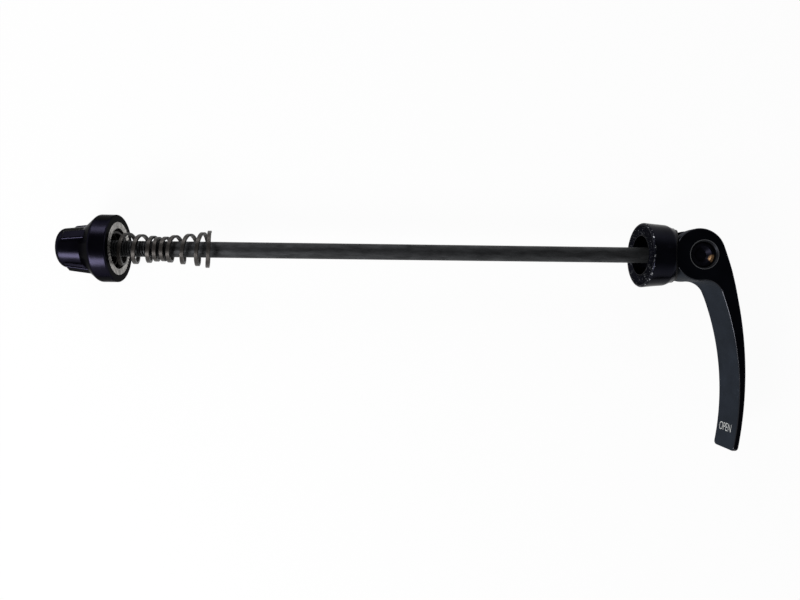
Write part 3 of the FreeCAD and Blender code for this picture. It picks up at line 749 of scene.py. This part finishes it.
class SKEWER_OT_nut(bpy.types.Operator):
    """Finishes of the adjusting nut, its grip ring and lock insert"""
    bl_idname = "skewer.nut"
    bl_label = "Nut"

    def execute(self, context):
        looks = context.scene.skewer_finishes
        steel = drawn_steel("grip_bare_steel", tuple(looks.grip), roughness=0.34, metallic=0.95)
        finish_node("adjusting_nut", nut_finish(looks))
        finish_node("nut_grip_ring", steel)
        finish_node("nut_lock_insert", moulded("lock_nylon", tuple(looks.nylon), roughness=0.55))
        return {"FINISHED"}


class SKEWER_OT_lever(bpy.types.Operator):
    """Finish of the lever and the plain word on its hollow side"""
    bl_idname = "skewer.lever"
    bl_label = "Lever"

    def execute(self, context):
        sizes, looks = context.scene.skewer_sizes, context.scene.skewer_finishes
        low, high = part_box("pivot_barrel")
        pivot = ((low.x + high.x) / 2, 0.0, 0.0)
        finish_node("lever", lever_finish(sizes, looks, pivot))
        points, faces = word_points("OPEN")
        y = points[:, 1] * sizes.mark_height - sizes.mark_place
        z = points[:, 0] * sizes.mark_width + sizes.mark_shift
        # A ray along the rod finds the hollow side at each of the word's points.
        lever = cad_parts["lever"]
        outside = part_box("lever")[0].x - MM
        hits = [lever.ray_cast((outside, a, b), (1.0, 0.0, 0.0)) for a, b in zip(y, z)]
        x = np.array([place.x for _, place, _, _ in hits]) - sizes.mark_lift
        mark = new_piece("open_mark", np.stack([x, y, z], -1), faces, smooth=False)
        dress(mark, "lever", "lever_black", moulded("mark_print", tuple(looks.mark), roughness=0.6))
        return {"FINISHED"}


class SKEWER_OT_stage(bpy.types.Operator):
    """Pale floor, soft light and the camera above the skewer"""
    bl_idname = "skewer.stage"
    bl_label = "Stage"

    def execute(self, context):
        scene = context.scene
        settings = scene.skewer_stage
        scene.view_settings.view_transform = "Standard"
        around = np.array([[-1.0, -1.0], [1.0, -1.0], [1.0, 1.0], [-1.0, 1.0]])
        level = np.full((4, 1), CAD_BOX[0].z - FLOOR_GAP)
        corners = np.hstack([around * settings.floor_half, level])
        floor = new_piece("floor", corners, [[0, 1, 2, 3]], smooth=False)
        pale = floor_finish(tuple(scene.skewer_finishes.floor), settings.floor_white)
        floor.data.materials.append(pale)
        scene.world = studio_world(settings.horizon, settings.overhead)
        soft_lamp(
            "front_panel", place=(-0.32, -0.294, 0.252), target=(-0.05, 0.0, 0.0),
            side=0.175, power=settings.front_power)
        soft_lamp(
            "back_panel", place=(-0.20, 0.345, 0.19), target=(0.0, 0.0, 0.0),
            side=0.14, power=settings.back_power)
        camera = overhead_camera(settings.lens)
        scene.collection.objects.link(camera)
        scene.camera = camera
        return {"FINISHED"}


class SKEWER_PT_panel(bpy.types.Panel):
    """Lists the skewer's pieces"""
    bl_label = "Skewer"
    bl_idname = "SKEWER_PT_panel"
    bl_space_type = "VIEW_3D"
    bl_region_type = "UI"
    bl_category = "Skewer"

    def draw(self, context):
        for operator in OPERATORS:
            self.layout.operator(operator.bl_idname)


OPERATORS = (
    SKEWER_OT_rod, SKEWER_OT_springs, SKEWER_OT_cap, SKEWER_OT_nut, SKEWER_OT_lever, SKEWER_OT_stage)
CLASSES = (SkewerSizes, SkewerFinishes, SkewerStage, *OPERATORS, SKEWER_PT_panel)


def register():
    """Register the classes and their settings."""
    for item in CLASSES:
        bpy.utils.register_class(item)
    bpy.types.Scene.skewer_sizes = bpy.props.PointerProperty(type=SkewerSizes)
    bpy.types.Scene.skewer_finishes = bpy.props.PointerProperty(type=SkewerFinishes)
    bpy.types.Scene.skewer_stage = bpy.props.PointerProperty(type=SkewerStage)


def unregister():
    """Remove the settings and classes."""
    del bpy.types.Scene.skewer_stage
    del bpy.types.Scene.skewer_finishes
    del bpy.types.Scene.skewer_sizes
    for item in reversed(CLASSES):
        bpy.utils.unregister_class(item)


def main():
    """Dress the skewer piece by piece and set the stage."""
    register()
    bpy.ops.skewer.rod()
    bpy.ops.skewer.springs()
    bpy.ops.skewer.cap()
    bpy.ops.skewer.nut()
    bpy.ops.skewer.lever()
    bpy.ops.skewer.stage()


if __name__ == "__main__":
    main()
